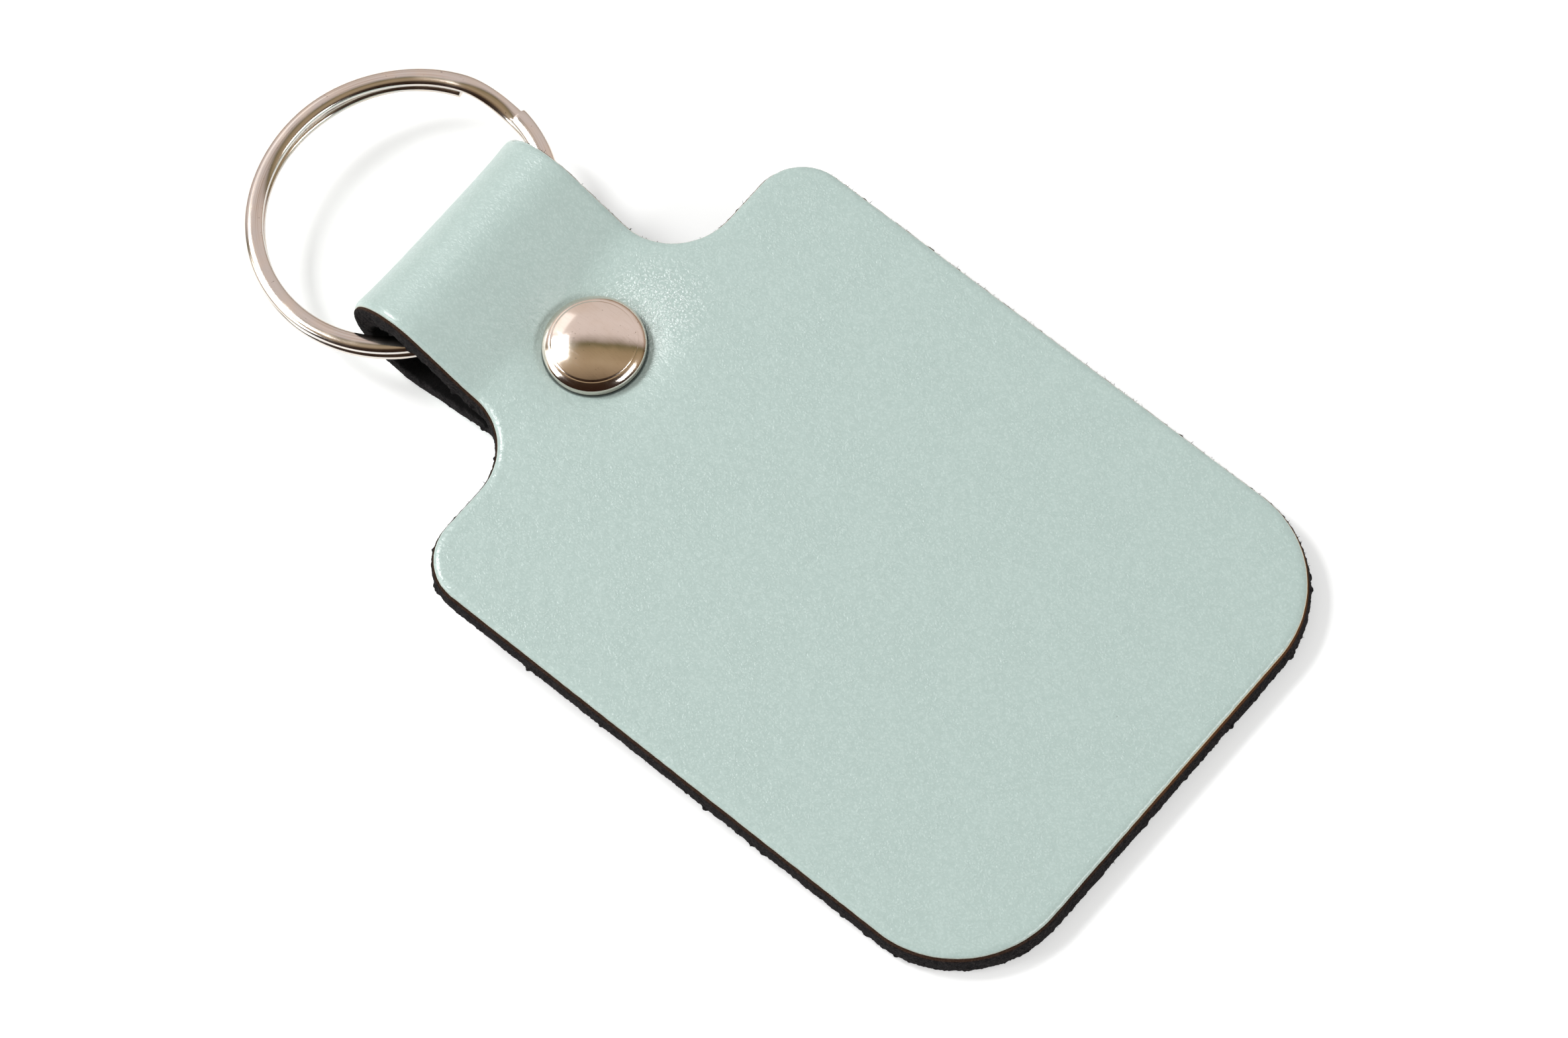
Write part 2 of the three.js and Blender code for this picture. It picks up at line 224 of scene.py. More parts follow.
def mint_finish():
    material, tree, shader = new_finish("mint_coated_face")
    blank = attribute(tree, "blank")
    sway = add_node(tree, "TexNoise", {"Vector": blank, "Scale": 1.6, "Detail": 2.0}).outputs["Color"]
    sway = vector_math(tree, "SUBTRACT", sway, (0.5, 0.5, 0.5)).outputs[0]
    sway = add_node(tree, "VectorMath", {0: sway, "Scale": 0.5}, operation="SCALE").outputs[0]
    swayed = vector_math(tree, "ADD", blank, sway).outputs[0]
    lie = stretched(tree, swayed, (1.0, 0.8, 1.0), GRAIN_LIE)
    cells = {"Vector": lie, "Scale": GRAIN_SCALE, "Smoothness": 0.25, "Randomness": 1.0}
    cells = add_node(tree, "TexVoronoi", cells, feature="SMOOTH_F1").outputs["Distance"]
    pebble = spread(tree, cells, 0.1, 0.62, 1.0, 0.0)
    pores = noise_at(tree, blank, 8.0)
    swell = noise_at(tree, stretched(tree, lie, (1.0, 0.6, 1.0)), 2.1)
    patches = noise_at(tree, blank, 0.3, 3.0)
    place = add_node(tree, "SeparateXYZ", {0: blank}).outputs
    level = place["Z"]
    on_face = spread(tree, level, THICK - 0.035, THICK - 0.003)
    from_rivet = vector_math(tree, "DISTANCE", blank, (0, RIVET_Y, THICK)).outputs["Value"]
    from_glint_spot = vector_math(tree, "DISTANCE", blank, WORN_GLINT_SPOT).outputs["Value"]
    polish_and_glint = spread(tree, from_glint_spot, 0.8, 5.4, 1.0, 0.0)
    depth = total(tree, spread(tree, patches, 0.3, 0.7, 0.5, 1.0), product(tree, polish_and_glint, WORN_GRAIN))
    depth = product(tree, depth, on_face)
    grain = product(tree, total(tree, pebble, product(tree, pores, 0.8)), depth)
    taut = spread(tree, place["Y"], RIVET_Y + 5.0, RIVET_Y + 11.0, SWELL_HEIGHT, TAUT_SWELL_HEIGHT)
    height = total(tree, grain, product(tree, swell, taut))
    bump = {"Strength": 1.0, "Distance": GRAIN_HEIGHT * MM, "Height": height}
    tree.links.new(add_node(tree, "Bump", bump).outputs[0], shader.inputs["Normal"])

    # Painted shade: the grain's valleys and the swell's creases are painted darker with MINT_SHADE, partly dye
    # that gathers there and partly painted shade of the relief.
    valleys = product(tree, spread(tree, cells, 0.2, 0.65), 0.75)
    shade = total(tree, valleys, spread(tree, patches, 0.35, 0.7, 0.0, 0.15))
    shade = total(tree, shade, spread(tree, swell, 0.42, 0.58, 0.22, 0.0))
    colour = mix_colour(tree, shade, MINT, MINT_SHADE)
    dots = {"Vector": blank, "Scale": 0.22, "Randomness": 1.0}
    dots = add_node(tree, "TexVoronoi", dots).outputs["Distance"]
    colour = mix_colour(tree, spread(tree, dots, 0.012, 0.024, 0.4, 0.0), colour, SPECK)
    # Painted glint: in the worn spot the pebble tops are painted paler, standing in for the sparkle of the window
    # on glossy leather.
    painted_glint = product(tree, product(tree, polish_and_glint, pebble), 0.65)
    colour = mix_colour(tree, painted_glint, colour, PAINTED_GLINT)
    # Painted shadow: a dark ring on the leather just outside the cap's foot, where the cap shades the crevice.
    painted_cap_shadow = spread(tree, from_rivet, CAP_RADIUS + 0.03, CAP_RADIUS + 0.17, 0.8, 0.0)
    colour = mix_colour(tree, painted_cap_shadow, colour, PAINTED_CAP_SHADOW)
    under_rim = spread(tree, level, CORE + 0.05, CORE + 0.13, 1.0, 0.0)
    colour = mix_colour(tree, product(tree, under_rim, dye_left(tree, place["X"])), colour, OCHRE)
    tree.links.new(colour, shader.inputs["Base Color"])
    rough = total(tree, spread(tree, pores, 0.3, 0.7, *RIM_ROUGHNESS), product(tree, on_face, FACE_ROUGHNESS))
    rough = total(tree, rough, product(tree, polish_and_glint, WORN_SHINE))
    tree.links.new(rough, shader.inputs["Roughness"])
    shader.inputs["Specular IOR Level"].default_value = 0.5
    return material


mint_coated_face = mint_finish()
print("finish:", mint_coated_face.name, len(mint_coated_face.node_tree.nodes), "nodes")

# %% [markdown]
# Below the film lies the core, charcoal bonded fibre. Its cut edge is brown just under the film, less so on
# the left, and then nearly black, with paler fibres that catch the light. Its back and the foot of its cut
# edge are painted nearly black, which also stands as painted shade inside the loop, so little light comes
# out of the loop.

# %% Finish of the fibre core
CHARCOAL = (0.0035, 0.0033, 0.0042, 1)
PALE_FIBRE = (0.030, 0.025, 0.025, 1)
FLECK = (0.11, 0.085, 0.07, 1)
BROWN = (0.050, 0.023, 0.011, 1)
ORANGE = (0.150, 0.065, 0.026, 1)
BLACK_BACK_AND_SHADE = (0.002, 0.002, 0.002, 1)
FELT_HEIGHT = 0.12


def fibre_finish():
    material, tree, shader = new_finish("charcoal_fibre")
    blank = attribute(tree, "blank")
    lie = stretched(tree, blank, (1.0, 1.0, 1.8))
    felt = {"Vector": lie, "Scale": 4.2, "Detail": 5.0, "Roughness": 0.7, "Distortion": 1.2}
    felt = add_node(tree, "TexNoise", felt).outputs["Fac"]
    flecks = noise_at(tree, lie, 9.0)
    colour = mix_colour(tree, spread(tree, felt, 0.44, 0.66), CHARCOAL, PALE_FIBRE)
    colour = mix_colour(tree, spread(tree, flecks, 0.64, 0.76, 0.0, 0.7), colour, FLECK)
    place = add_node(tree, "SeparateXYZ", {0: blank}).outputs
    level = place["Z"]
    dye = dye_left(tree, place["X"])
    stain = total(tree, level, product(tree, felt, 0.5))
    brown = product(tree, spread(tree, stain, CORE + 0.06, CORE + 0.25, 0.0, 0.85), dye)
    colour = mix_colour(tree, brown, colour, BROWN)
    orange = product(tree, spread(tree, level, CORE - 0.06, CORE - 0.02, 0.0, 0.6), dye)
    colour = mix_colour(tree, orange, colour, ORANGE)
    # Painted shade: the back and the lowest part of the cut edge are painted nearly black, so the inside of the
    # loop reads dark.
    colour = mix_colour(tree, spread(tree, level, 0.02, 0.3, 0.9, 0.0), colour, BLACK_BACK_AND_SHADE)
    tree.links.new(colour, shader.inputs["Base Color"])
    height = total(tree, felt, product(tree, flecks, 0.6))
    bump = {"Strength": 0.9, "Distance": FELT_HEIGHT * MM, "Height": height}
    tree.links.new(add_node(tree, "Bump", bump).outputs[0], shader.inputs["Normal"])
    shader.inputs["Roughness"].default_value = 0.92
    shader.inputs["Specular IOR Level"].default_value = 0.12
    return material


charcoal_fibre = fibre_finish()
print("finish:", charcoal_fibre.name, len(charcoal_fibre.node_tree.nodes), "nodes")

# %% [markdown]
# The blank is one strip of leather: panel, shoulders, neck, the fold round the ring, and a tail that comes
# back behind the neck. It is easiest to cut it flat and fold it later, as the maker does. The fold's side
# view is a line of straights and arcs. Its heading is smoothed a little, because leather doesn't change its
# curve at once, and then added up into points, so a place along the strip gives a place in the fold.

# %% Side view of the fold
GRIP_END_Y = 60.6
FOLD_Y = 68.848
FOLD_RADIUS = 3.015
LEG_BEND_RADIUS = 6.0
LEG_GAP = 0.3
TAIL_END_Y = 49.9
TABLE_STEP = 0.02
LEAD_IN = 3.0
EASE_STEPS = 40

run = FOLD_Y - GRIP_END_Y
rise = LEG_BEND_RADIUS + LEG_GAP / 2
reach = LEG_BEND_RADIUS + FOLD_RADIUS
slope = math.asin(reach / math.hypot(run, rise)) - math.atan2(rise, run)
leg_length = math.sqrt(run**2 + rise**2 - reach**2)
bend_length = slope * (LEG_BEND_RADIUS - THICK / 2)
fold_turn = math.pi + 2 * slope
fold_length = fold_turn * (FOLD_RADIUS + THICK / 2)
tail_length = GRIP_END_Y - TAIL_END_Y
lengths = [GRIP_END_Y, bend_length, leg_length, fold_length, leg_length, bend_length, tail_length]
turns = [0, slope, 0, -fold_turn, 0, slope, 0]
stations = np.cumsum([0, *lengths])
fold_start, fold_end = stations[3], stations[4]
fold_middle = (fold_start + fold_end) / 2
strip_length = stations[-1]
tail_rivet = strip_length - (RIVET_Y - TAIL_END_Y)

along = np.arange(-LEAD_IN, strip_length + LEAD_IN, TABLE_STEP)
heading = np.interp(along, stations, np.cumsum([0, *turns]))
easing = np.ones(2 * EASE_STEPS + 1) / (2 * EASE_STEPS + 1)
heading = np.convolve(np.pad(heading, EASE_STEPS, "edge"), easing, "valid")
path_y = -LEAD_IN + TABLE_STEP * np.concatenate([[0], np.cumsum(np.cos(heading[:-1]))])
path_z = THICK / 2 + TABLE_STEP * np.concatenate([[0], np.cumsum(np.sin(heading[:-1]))])
print(f"strip {strip_length:.1f} mm long; the fold runs from {fold_start:.1f} to {fold_end:.1f} mm")

# %% [markdown]
# Folding moves each point of the flat strip to its place on that line. On the way it gets three small
# traits of real leather: the rivet's caps press a soft hollow into both coated faces, the fold sinks a
# little between its two ends, and the tail's sides droop, because only its middle is clamped. The flat
# coordinates stay behind on each vertex for the finishes to read.

# %% Fold a flat mesh
PRESS_DEPTH = 0.6
PRESS_REACH = 1.5
PRESS_POWER = 1.3
SINK = 0.25
SINK_REACH = 0.75
DROOP = 0.8
DROOP_RUN = 5


def smooth_step(value):
    value = np.clip(value, 0, 1)
    return value * value * (3 - 2 * value)


def pressed(x, s, centre):
    past_cap = np.maximum(np.hypot(x, s - centre) - CAP_RADIUS, 0)
    return PRESS_DEPTH * np.exp(-(past_cap / PRESS_REACH) ** PRESS_POWER)


def fold(bm):
    blank = bm.verts.layers.float_vector.new("blank")
    flat = np.array([v.co for v in bm.verts])
    for vert, place in zip(bm.verts, flat):
        vert[blank] = place
    x, s, up = flat.T
    up = up - (up / THICK) * (pressed(x, s, RIVET_Y) + pressed(x, s, tail_rivet))
    near_fold = smooth_step(1 - np.abs(s - fold_middle) / (SINK_REACH * fold_length))
    inside = np.clip(1 - np.abs(x / NECK_HALF) ** 4, 0, 1)
    up = up - SINK * inside * near_fold
    up = up + DROOP * (x / NECK_HALF) ** 2 * smooth_step((s - fold_end) / DROOP_RUN)
    angle = np.interp(s, along, heading)
    y = np.interp(s, along, path_y) - np.sin(angle) * (up - THICK / 2)
    z = np.interp(s, along, path_z) + np.cos(angle) * (up - THICK / 2)
    for vert, place in zip(bm.verts, zip(x, y, z)):
        vert.co = place
    bmesh.ops.transform(bm, matrix=bench, verts=bm.verts[:])


print(f"rivet holes at {RIVET_Y} and {tail_rivet:.1f} mm along the strip")

# %% [markdown]
# The flat sheet starts as one face with square corners. A vertex bevel rounds each corner with its own
# radius, and plane cuts then divide the face into a grid, finer where it will bend. A knife outline drawn
# by hand would do too, but bevel and bisect keep every size a plain number. The sheet is a little smaller
# than the blank: the rims come next.

# %% Cut the flat sheet
PANEL_HALF = 22.5
SHOULDER_Y = 56.0
BOTTOM_CORNER = 9.4
SHOULDER_CORNER = 4.2
NECK_FILLET = 5.4
TAIL_CORNER = 1.6
RIM = 1.0
CORNERS = [
    ((-PANEL_HALF + RIM, RIM), BOTTOM_CORNER - RIM),
    ((PANEL_HALF - RIM, RIM), BOTTOM_CORNER - RIM),
    ((PANEL_HALF - RIM, SHOULDER_Y - RIM), SHOULDER_CORNER - RIM),
    ((NECK_HALF - RIM, SHOULDER_Y - RIM), NECK_FILLET + RIM),
    ((NECK_HALF - RIM, strip_length - RIM), TAIL_CORNER - RIM),
    ((-NECK_HALF + RIM, strip_length - RIM), TAIL_CORNER - RIM),
    ((-NECK_HALF + RIM, SHOULDER_Y - RIM), NECK_FILLET + RIM),
    ((-PANEL_HALF + RIM, SHOULDER_Y - RIM), SHOULDER_CORNER - RIM),
]
FINE_STEP = 0.5
FINE_STEPS_BELOW_RIVET = 17
FOLD_CUTS = 54


def cut_across(bm, normal, places):
    for place in places:
        everything = bm.verts[:] + bm.edges[:] + bm.faces[:]
        bmesh.ops.bisect_plane(
            bm, geom=everything, dist=1e-5, plane_co=Vector(normal) * place, plane_no=normal
        )


sheet = bmesh.new()
corner_verts = [sheet.verts.new((*place, 0)) for place, _ in CORNERS]
sheet.faces.new(corner_verts)
for vert, (_, radius) in zip(corner_verts, CORNERS):
    bmesh.ops.bevel(
        sheet, geom=[vert], offset=radius, offset_type="OFFSET", affect="VERTICES",
        segments=max(4, round(radius * 3)), profile=0.5, material=-1,
    )
panel_cuts = range(1, 48)
front_cuts = np.arange(RIVET_Y - FINE_STEPS_BELOW_RIVET * FINE_STEP, 65.0, FINE_STEP)
tail_cuts = strip_length - np.arange(1.0, 12.1, FINE_STEP)
fold_cuts = np.linspace(front_cuts[-1], tail_cuts[-1], FOLD_CUTS)[1:-1]
cut_across(sheet, (0, 1, 0), [*panel_cuts, *front_cuts, *fold_cuts, *tail_cuts])
side_cuts = np.arange(9.5, 22, 1.0)
cut_across(sheet, (1, 0, 0), [*np.arange(-8.0, 8.1, FINE_STEP), *side_cuts, *-side_cuts])
print(f"sheet: {len(sheet.faces)} faces, area {sum(f.calc_area() for f in sheet.faces):.0f} square mm")

# %% [markdown]
# The rivet's two holes are punched next: a square of small faces is taken out at each place and its corners
# are drawn in to a circle. Then the outline is divided finely, because the cut edge will carry fibres.

# %% Punch the holes and divide the outline
HOLE_HALF = 2.0
HOLE_RADIUS = 2.0
NEAR_HOLE = 1.6 * HOLE_HALF
EDGE_STEP = 0.11


def hole_distance(point):
    return min(math.hypot(point.x, point.y - middle) for middle in (RIVET_Y, tail_rivet))


def hole_square(point):
    return any(max(abs(point.x), abs(point.y - middle)) < HOLE_HALF for middle in (RIVET_Y, tail_rivet))


def outline_edges(bm):
    return [e for e in bm.edges if e.is_boundary and hole_distance(e.verts[0].co) > NEAR_HOLE]


def hole_edges(bm):
    return [e for e in bm.edges if e.is_boundary and hole_distance(e.verts[0].co) <= NEAR_HOLE]


punched = [f for f in sheet.faces if hole_square(f.calc_center_median())]
bmesh.ops.delete(sheet, geom=punched, context="FACES")
for vert in sheet.verts:
    if vert.is_boundary and hole_distance(vert.co) < NEAR_HOLE:
        middle = RIVET_Y if abs(vert.co.y - RIVET_Y) < 2 * HOLE_HALF else tail_rivet
        spoke = vert.co - Vector((0, middle, 0))
        vert.co = Vector((0, middle, 0)) + spoke * (HOLE_RADIUS / spoke.length)
for cuts in range(1, 12):
    group = [e for e in outline_edges(sheet) if round(e.calc_length() / EDGE_STEP) - 1 == cuts]
    bmesh.ops.subdivide_edges(sheet, edges=group, cuts=cuts)
print(f"outline: {len(outline_edges(sheet))} edges; holes: {len(hole_edges(sheet))} edges")

# %% [markdown]
# Film and core are both this sheet, given a rim and an underside. The outline is extruded ring by ring:
# each ring is a height and a step out from the sheet, so a short list draws the edge's profile. The last
# ring comes back under the sheet to a copy of it, and merging doubles closes the layer.

# %% Give a sheet its rim and underside
def outward_steps(bm):
    steps = {}
    for edge in outline_edges(bm):
        loop = edge.link_loops[0]
        run_along = loop.link_loop_next.vert.co - loop.vert.co
        aside = Vector((run_along.y, -run_along.x, 0)).normalized()
        for vert in edge.verts:
            steps[vert] = steps.get(vert, Vector()) + aside
    return {vert: step.normalized() for vert, step in steps.items()}


def extruded(bm, edges, place):
    made = bmesh.ops.extrude_edge_only(bm, edges=edges)["geom"]
    verts = {g for g in made if isinstance(g, bmesh.types.BMVert)}
    before = {}
    for vert in verts:
        before[vert] = next(e.other_vert(vert) for e in vert.link_edges if e.other_vert(vert) not in verts)
    for vert in verts:
        vert.co = place(before[vert])
    return [g for g in made if isinstance(g, bmesh.types.BMEdge) and set(g.verts) <= verts], before


def leather_layer(top, bottom, rings, fray):
    bm = sheet.copy()
    bmesh.ops.translate(bm, verts=bm.verts[:], vec=(0, 0, top))
    copied = bmesh.ops.duplicate(bm, geom=bm.faces[:])["geom"]
    under = {g for g in copied if isinstance(g, bmesh.types.BMFace)}
    hole = [e for e in hole_edges(bm) if e.link_faces[0] not in under]
    edge = [e for e in outline_edges(bm) if e.link_faces[0] not in under]
    steps = outward_steps(bm)
    homes = {v: v.co.copy() for e in edge for v in e.verts}
    under_verts = list({v for f in under for v in f.verts})
    bmesh.ops.translate(bm, verts=under_verts, vec=(0, 0, bottom - top))

    def rim_point(old, out, height):
        step = steps[old]
        point = Vector((homes[old].x, homes[old].y, height)) + step * (RIM + out)
        return point + step * (fray(point, step) if out > -RIM else 0)

    for out, height in [*rings, (-RIM, bottom)]:
        edge, before = extruded(bm, edge, lambda old: rim_point(old, out, height))
        homes.update({new: homes[old] for new, old in before.items()})
        steps.update({new: steps[old] for new, old in before.items()})
    extruded(bm, hole, lambda old: Vector((old.co.x, old.co.y, bottom)))
    bmesh.ops.remove_doubles(bm, verts=bm.verts[:], dist=1e-4)
    bmesh.ops.triangulate(bm, faces=[f for f in bm.faces if len(f.verts) > 4])
    return bm


print("rims ready")

# %% [markdown]
# The coated film rolls over at its rim, where the die pressed it down, so a light can run along it. Both
# layers cross the line where the leather bends. That bend ends below the rivet's cap, which has to stay
# seated.

# %% Make the mint face
FILM_RIM = [
    (-0.8, 2.299), (-0.66, 2.29), (-0.54, 2.272), (-0.43, 2.242), (-0.34, 2.202), (-0.27, 2.155),
    (-0.215, 2.1), (-0.18, 2.05), (-0.17, 2.0),
]
FILM_FRAY = 0.018


def bends_with_leather(piece):
    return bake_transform(piece)


def film_fray(point, _step):
    return FILM_FRAY * noise.noise(point * 1.7)


film = leather_layer(THICK, CORE, FILM_RIM, film_fray)
fold(film)
mint_face = finished_piece("mint_face", film, mint_coated_face, sharp_angle=60)
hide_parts("panel_face", "loop_face")
bends_with_leather(mint_face)

# %% [markdown]
# The core's cut edge is rough: a fine fuzz all along it and small nubs where the die tore the fibre. Noise
# read at each ring point pushes the point out or in. Perlin noise has no seed to set, so it is the same on
# every run. The die came down a little askew, so the core shows more at the lower left than at the upper
# right.

# %% Make the fibre core
LAYER_GAP = 0.01
CUT_SLANT = Vector((-0.1, -0.06, 0))
CORE_RIM = [
    (-0.1, 1.99), (-0.04, 1.93), (0.0, 1.82), (0.03, 1.65), (0.05, 1.45), (0.06, 1.25), (0.07, 1.05),
    (0.07, 0.85), (0.07, 0.65), (0.06, 0.46), (0.05, 0.28), (0.0, 0.1), (-0.09, 0.0),
]
FUZZ = [(0.09, 3.1), (0.06, 6.3), (0.04, 1.1)]
NUB_SIZE = 0.55
NUB_FLOOR = 0.36
NUB_PLACE = Vector((31.7, 5.2, 9.4))
FRAY_RUN = 0.5


def core_fray(point, step):
    fuzz = sum(size * noise.noise(point * scale) for size, scale in FUZZ)
    nub = max(0.0, noise.noise(point * 1.4 + NUB_PLACE) - NUB_FLOOR)
    depth = min(1.0, max(0.0, (CORE - point.z) / FRAY_RUN))
    return CUT_SLANT.dot(step) + depth * (fuzz + NUB_SIZE * nub)


core = leather_layer(CORE - LAYER_GAP, 0.0, CORE_RIM, core_fray)
fold(core)
fibre_core = finished_piece("fibre_core", core, charcoal_fibre, sharp_angle=70)
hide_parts("panel_core", "loop_core")
bends_with_leather(fibre_core)

# %% [markdown]
# Loose fibres stand out from the cut edge. Each is a thin four-sided cone, set on the flat blank's outline
# and folded with it. Hair particles would look alike, but they can't be exported as a mesh that bends. The
# draws have a fixed seed and go through a sorted list of places, so every run sets the same fibres.

# %% Make the loose fibres
FIBRE_COUNT = 1500
FIBRE_SEED = 7
SHORTEST_FIBRE = 0.1
FIBRE_EXTRA = 0.2
FIBRE_SPLAY = 0.7
FIBRE_LEVELS = (0.1, 1.7)
FIBRE_RADII = (0.015, 0.035)
FIBRE_TIP = 0.006
FIBRE_SET_IN = 0.03

draw = random.Random(FIBRE_SEED)
edge_places = [(v.co.copy(), step) for v, step in outward_steps(sheet).items()]
edge_places.sort(key=lambda pair: (round(pair[0].x, 4), round(pair[0].y, 4)))
fibres = bmesh.new()
for _ in range(FIBRE_COUNT):
    place, step = draw.choice(edge_places)
    length = SHORTEST_FIBRE + FIBRE_EXTRA * draw.random() ** 2
    aim = (step + FIBRE_SPLAY * Vector([draw.uniform(-1, 1) for _ in range(3)])).normalized()
    root = place + step * (RIM - FIBRE_SET_IN) + Vector((0, 0, draw.uniform(*FIBRE_LEVELS)))
    turned = Vector((0, 0, 1)).rotation_difference(aim).to_matrix().to_4x4()
    bmesh.ops.create_cone(
        fibres, cap_ends=True, segments=4, radius1=draw.uniform(*FIBRE_RADII), radius2=FIBRE_TIP,
        depth=length, matrix=Matrix.Translation(root + aim * length / 2) @ turned,
    )
fold(fibres)
loose_fibres = finished_piece("loose_fibres", fibres, charcoal_fibre)
bends_with_leather(loose_fibres)
sheet.free()

# %% [markdown]
# The metal is nickel plate: warm, bright and lightly rubbed. Its colour is nearly even, so what makes it
# read as metal is what it mirrors. Small changes of roughness and a few hair scratches keep the mirror from
# looking too clean. The cap's foot is painted dark, as painted shade where it meets the leather.

# %% Finishes of the metal
NICKEL = (0.80, 0.735, 0.675, 1)
NICKEL_WARM = (0.72, 0.62, 0.52, 1)
SILVER = (0.66, 0.63, 0.60, 1)
TARNISH = (0.42, 0.30, 0.20, 1)
GRIME = (0.10, 0.065, 0.045, 1)
FOOT_PAINTED_SHADE = (0.012, 0.016, 0.012, 1)
CAP_FOOT = 1.86
SCRATCH_DEPTH = 0.01


def nickel_finish(name, vector, scratch_scale, rough, bright, worn, foot=None):
    material, tree, shader = new_finish(name)
    if vector == "Object":
        coordinates = stretched(tree, add_node(tree, "TexCoord").outputs["Object"], (1 / MM,) * 3)
    else:
        coordinates = attribute(tree, vector)
    clouds = noise_at(tree, coordinates, 0.45, 4.0)
    streaks = noise_at(tree, stretched(tree, coordinates, scratch_scale), 1.0, 3.0)
    specks = noise_at(tree, coordinates, 4.2)
    colour = mix_colour(tree, spread(tree, clouds, 0.35, 0.75, 0.0, 0.6), bright, NICKEL_WARM)
    colour = mix_colour(tree, spread(tree, streaks, 0.5, 0.68, 0.0, worn), colour, TARNISH)
    colour = mix_colour(tree, spread(tree, specks, 0.7, 0.76, 0.0, 0.5), colour, GRIME)
    if foot is not None:
        # Painted shade: the cap is painted dark from its foot up a little, where it meets the leather.
        level = add_node(tree, "SeparateXYZ", {0: coordinates}).outputs["Z"]
        foot_shade = spread(tree, level, foot + 0.04, foot + 0.16, 1.0, 0.0)
        colour = mix_colour(tree, foot_shade, colour, FOOT_PAINTED_SHADE)
    tree.links.new(colour, shader.inputs["Base Color"])
    dull = spread(tree, clouds, 0.3, 0.8, rough, rough + 0.08)
    dull = total(tree, dull, spread(tree, streaks, 0.55, 0.75, 0.0, 0.06))
    tree.links.new(dull, shader.inputs["Roughness"])
    bump = {"Strength": 0.12, "Distance": SCRATCH_DEPTH * MM, "Height": streaks}
    tree.links.new(add_node(tree, "Bump", bump).outputs[0], shader.inputs["Normal"])
    shader.inputs["Metallic"].default_value = 1.0
    return material


pressed_nickel = nickel_finish("pressed_nickel", "place", (6.0, 0.7, 3.0), 0.09, NICKEL, 0.06, CAP_FOOT)
wound_nickel = nickel_finish("wound_nickel", "wire", (0.10, 8.0, 8.0), 0.13, SILVER, 0.4)
plain_steel = nickel_finish("plain_steel", "Object", (3.0, 3.0, 0.5), 0.3, NICKEL, 0.1)
for node in ("rivet_socket", "rivet_post"):
    frame["nodes"][node].data.materials.clear()
    frame["nodes"][node].data.materials.append(plain_steel)
print("metal finishes ready; inner rivet parts wear", plain_steel.name)

# %% [markdown]
# A rivet cap is pressed from sheet: a shallow dome, a fine crease, a rolled edge and a short skirt that
# curls under into the leather. Spinning one vertex draws each arc of that profile, and spinning the whole
# profile a full turn makes the shell. The back cap is the same shell with a higher dome, because the fob
# rests on it, mirrored through the leather.

# %% Make the rivet caps
FRONT_TOP, FRONT_DOME_RADIUS = 3.6, 9.5
BACK_TOP, BACK_DOME_RADIUS = 4.30, 6.0
CREASE_RADIUS = 3.40
CREASE_HALF = 0.035
CREASE_DEPTH = 0.016
ROLL_RADIUS = 1.5
ROLL_END = 3.977
CURL_RADIUS = 0.2
CURL_ANGLE = 120
CAP_WALL = 0.1
CAP_STEPS = 96


def spun_arc(bm, start, centre, angle, steps):
    made = bmesh.ops.spin(
        bm, geom=[start], cent=centre, axis=(0, 1, 0), angle=angle, steps=steps, use_merge=False
    )
    return next(g for g in made["geom_last"] if isinstance(g, bmesh.types.BMVert))


def dropped(bm, start, place):
    made = bmesh.ops.extrude_vert_indiv(bm, verts=[start])["verts"][0]
    made.co = place
    return made


def tilted(angle):
    return Vector((math.sin(angle), 0, math.cos(angle)))


def cap_shell(top, dome_radius):
    bm = bmesh.new()
    tilt = math.asin(CREASE_RADIUS / dome_radius)
    dome_centre = Vector((0, 0, top - dome_radius))
    crease = dome_centre + dome_radius * tilted(tilt)
    roll_centre = crease - ROLL_RADIUS * tilted(tilt)
    roll_start = tilt + CREASE_HALF / ROLL_RADIUS
    roll_end = math.asin((ROLL_END - roll_centre.x) / ROLL_RADIUS)
    edge_radius = (CAP_RADIUS - ROLL_END) / (1 - math.sin(roll_end))
    crown = bm.verts.new((0, 0, top))
    dome_end = spun_arc(bm, crown, dome_centre, tilt - CREASE_HALF / dome_radius, 20)
    groove = dropped(bm, dome_end, crease - CREASE_DEPTH * tilted(tilt))
    roll = dropped(bm, groove, roll_centre + ROLL_RADIUS * tilted(roll_start))
    edge = spun_arc(bm, roll, roll_centre, roll_end - roll_start, 12)
    rim = spun_arc(bm, edge, edge.co - edge_radius * tilted(roll_end), math.pi / 2 - roll_end, 8)
    skirt = dropped(bm, rim, (CAP_RADIUS, 0, CAP_FOOT))
    curl = spun_arc(bm, skirt, skirt.co - Vector((CURL_RADIUS, 0, 0)), math.radians(CURL_ANGLE), 10)
    inside = dropped(bm, curl, (CAP_RADIUS - 2 * CURL_RADIUS, 0, CAP_FOOT))
    corner = dropped(bm, inside, crease - Vector((0.08, 0, CAP_WALL)))
    spun_arc(bm, corner, dome_centre, -math.atan2(corner.co.x, corner.co.z - dome_centre.z), 12)
    bmesh.ops.spin(
        bm, geom=bm.verts[:] + bm.edges[:], cent=(0, 0, 0), axis=(0, 0, 1),
        angle=2 * math.pi, steps=CAP_STEPS, use_merge=True,
    )
    bmesh.ops.remove_doubles(bm, verts=bm.verts[:], dist=1e-4)
    return bm


